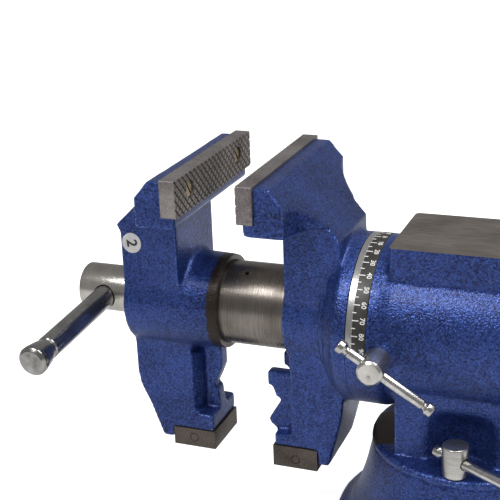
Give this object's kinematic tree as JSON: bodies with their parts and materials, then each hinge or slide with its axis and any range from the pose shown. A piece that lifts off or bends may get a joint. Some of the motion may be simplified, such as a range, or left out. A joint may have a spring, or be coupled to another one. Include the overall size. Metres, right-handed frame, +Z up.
{
  "type": "bench vise",
  "caption": "Multi-purpose bench vise with a rotating jaw head, pipe jaws below the screw, an anvil and a swivel base locked by tommy-bar nuts.",
  "frame": {"origin": "swivel axis at the underside of the base, on the bench", "axes": "+X along the clamping screw from the handle to the rear, +Z up, so -Y is the side with the head lock"},
  "size_m": [0.3654, 0.2256, 0.236],
  "materials": {
    "blue_paint": "hammertone enamel, satin",
    "jaw_steel": "ground tool steel",
    "dark_steel": "oiled steel",
    "turned_steel": "turned steel",
    "zinc": "bright zinc plate",
    "bronze": "machined bronze",
    "black_label": "printed aluminium scale",
    "white_label": "printed paper"
  },
  "bodies": {
    "base": {"swivel_base": "blue_paint"},
    "body": {"body_casting": "blue_paint", "degree_band": "black_label", "rear_cap": "blue_paint", "rear_cap_screw_1": "zinc", "rear_cap_screw_2": "zinc", "rear_cap_screw_3": "zinc", "rear_cap_screw_4": "zinc", "head_lock_shoe": "bronze", "base_lock_bolt_near": "dark_steel", "base_lock_bolt_far": "dark_steel"},
    "head": {"head_casting": "blue_paint", "head_retaining_ring": "turned_steel", "spindle_nut": "bronze", "spindle_nut_screw": "dark_steel", "fixed_jaw_plate": "jaw_steel", "fixed_plate_screw_near": "dark_steel", "fixed_plate_screw_far": "dark_steel", "fixed_lower_insert": "dark_steel", "fixed_insert_pin": "turned_steel", "fixed_insert_screw_1": "dark_steel", "fixed_insert_screw_2": "dark_steel"},
    "front_jaw": {"moving_jaw_casting": "blue_paint", "slide_tube": "turned_steel", "jaw_number_disc": "white_label", "moving_jaw_plate": "jaw_steel", "moving_plate_screw_near": "dark_steel", "moving_plate_screw_far": "dark_steel", "moving_lower_insert": "dark_steel", "moving_insert_pin": "turned_steel", "moving_insert_screw_1": "dark_steel", "moving_insert_screw_2": "dark_steel"},
    "screw": {"spindle": "turned_steel", "spindle_thrust_washer": "zinc", "spindle_collar": "dark_steel", "spindle_collar_pin": "turned_steel"},
    "handle": {"handle_bar": "turned_steel", "handle_end_cap": "turned_steel"},
    "head_lock": {"head_lock_screw": "zinc"},
    "head_lock_bar": {"head_lock_bar": "zinc", "head_lock_bar_cap": "zinc"},
    "near_lock": {"base_lock_nut_near": "zinc"},
    "near_lock_bar": {"base_lock_near_bar": "zinc", "base_lock_near_bar_cap": "zinc"},
    "far_lock": {"base_lock_nut_far": "zinc"},
    "far_lock_bar": {"base_lock_far_bar": "zinc", "base_lock_far_bar_cap": "zinc"}
  },
  "joints": [
    {"name": "base_swivel", "type": "hinge", "parent": "base", "child": "body", "pos_m": [0, 0, 0.06], "axis": [0, 0, 1], "continuous": true},
    {"name": "head_rotation", "type": "hinge", "parent": "body", "child": "head", "pos_m": [-0.0515, 0, 0.136], "axis": [1, 0, 0], "continuous": true},
    {"name": "jaw_slide", "type": "slide", "parent": "head", "child": "front_jaw", "axis": [1, 0, 0], "range_m": [-0.0863, 0.0383]},
    {"name": "spindle_turn", "type": "hinge", "parent": "front_jaw", "child": "screw", "pos_m": [-0.251, 0, 0.136], "axis": [1, 0, 0], "range_deg": [-6250, 2800]},
    {"name": "handle_slide", "type": "slide", "parent": "screw", "child": "handle", "axis": [0, 0.9982, 0.0593], "range_m": [-0.075, 0.075]},
    {"name": "head_lock_turn", "type": "hinge", "parent": "body", "child": "head_lock", "pos_m": [-0.0475, -0.065, 0.133], "axis": [0, 1, 0], "range_deg": [-270, 0]},
    {"name": "head_lock_bar_slide", "type": "slide", "parent": "head_lock", "child": "head_lock_bar", "axis": [0.848, 0, -0.5299], "range_m": [-0.027, 0.009]},
    {"name": "near_lock_turn", "type": "hinge", "parent": "body", "child": "near_lock", "pos_m": [0, -0.0565, 0.076], "axis": [0, 0, 1], "range_deg": [-158, 39]},
    {"name": "near_lock_bar_slide", "type": "slide", "parent": "near_lock", "child": "near_lock_bar", "axis": [0.8625, -0.506, 0], "range_m": [-0.008, 0]},
    {"name": "far_lock_turn", "type": "hinge", "parent": "body", "child": "far_lock", "pos_m": [0, 0.0565, 0.076], "axis": [0, 0, 1], "range_deg": [-158, 39]},
    {"name": "far_lock_bar_slide", "type": "slide", "parent": "far_lock", "child": "far_lock_bar", "axis": [-0.8625, 0.506, 0], "range_m": [-0.008, 0]}
  ],
  "couplings": [
    {"joint": "spindle_turn", "follows": "jaw_slide", "rad_per_m": 1256.6}
  ]
}
